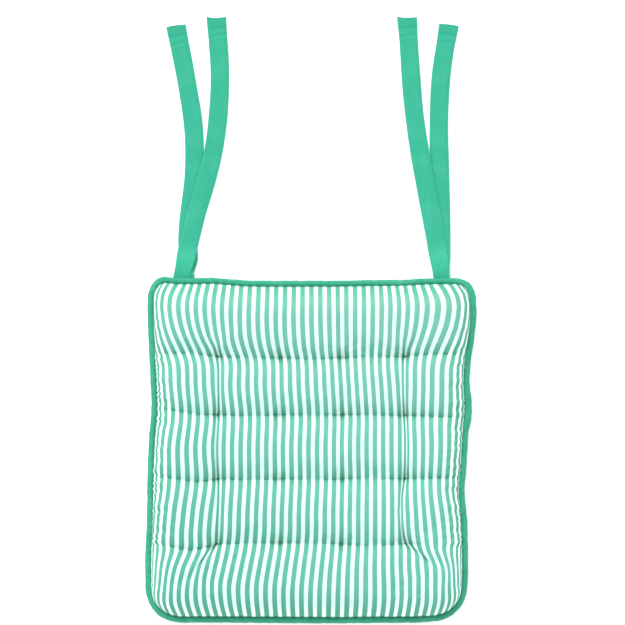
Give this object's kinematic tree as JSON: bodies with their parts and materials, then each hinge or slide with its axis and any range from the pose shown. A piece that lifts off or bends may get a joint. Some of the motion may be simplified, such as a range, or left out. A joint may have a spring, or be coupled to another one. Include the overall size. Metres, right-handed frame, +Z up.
{
  "type": "chair seat pad",
  "caption": "Square tufted seat pad with rounded corners, vertical stripes, piped edges and two pairs of flat fabric ties at the back.",
  "frame": {"origin": "middle of the flat underside, between the side edges and between the front and back edges of the piping", "axes": "+Z up through the pad, +Y towards the back edge where the ties are, +X to the right as seen from the front"},
  "size_m": [0.38, 0.7073, 0.046],
  "materials": {
    "striped_cotton": "matte",
    "backing_cotton": "matte",
    "polyester_fill": "matte",
    "piping_cotton": "matte",
    "cotton_cord": "matte",
    "sewing_thread": "satin",
    "tuft_thread": "satin",
    "tie_cotton": "matte"
  },
  "bodies": {
    "pad": {"top_panel": "striped_cotton", "bottom_panel": "backing_cotton", "fibre_fill": "polyester_fill", "piping_cover": "piping_cotton", "piping_cord": "cotton_cord", "seam_thread": "sewing_thread", "tuft_r1_c1": "tuft_thread", "tuft_r1_c2": "tuft_thread", "tuft_r1_c3": "tuft_thread", "tuft_r1_c4": "tuft_thread", "tuft_r2_c1": "tuft_thread", "tuft_r2_c2": "tuft_thread", "tuft_r2_c3": "tuft_thread", "tuft_r2_c4": "tuft_thread", "tuft_r3_c1": "tuft_thread", "tuft_r3_c2": "tuft_thread", "tuft_r3_c3": "tuft_thread", "tuft_r3_c4": "tuft_thread", "tuft_r4_c1": "tuft_thread", "tuft_r4_c2": "tuft_thread", "tuft_r4_c3": "tuft_thread", "tuft_r4_c4": "tuft_thread", "tie_left_lower_root": "tie_cotton", "tie_left_upper_root": "tie_cotton", "tie_right_lower_root": "tie_cotton", "tie_right_upper_root": "tie_cotton"},
    "left_lower_tie": {"tie_left_lower": "tie_cotton", "tie_left_lower_stitching": "sewing_thread"},
    "left_upper_tie": {"tie_left_upper": "tie_cotton", "tie_left_upper_stitching": "sewing_thread"},
    "right_lower_tie": {"tie_right_lower": "tie_cotton", "tie_right_lower_stitching": "sewing_thread"},
    "right_upper_tie": {"tie_right_upper": "tie_cotton", "tie_right_upper_stitching": "sewing_thread"}
  },
  "joints": [
    {"name": "left_lower_tie_swing", "type": "hinge", "parent": "pad", "child": "left_lower_tie", "pos_m": [0, 0.204, 0.01075], "axis": [1, 0, 0], "range_deg": [-90, 50]},
    {"name": "left_upper_tie_lift", "type": "hinge", "parent": "left_lower_tie", "child": "left_upper_tie", "pos_m": [0, 0.204, 0.01075], "axis": [1, 0, 0], "range_deg": [0, 45]},
    {"name": "right_lower_tie_swing", "type": "hinge", "parent": "pad", "child": "right_lower_tie", "pos_m": [0, 0.204, 0.01075], "axis": [1, 0, 0], "range_deg": [-90, 50]},
    {"name": "right_upper_tie_lift", "type": "hinge", "parent": "right_lower_tie", "child": "right_upper_tie", "pos_m": [0, 0.204, 0.01075], "axis": [1, 0, 0], "range_deg": [0, 45]}
  ]
}
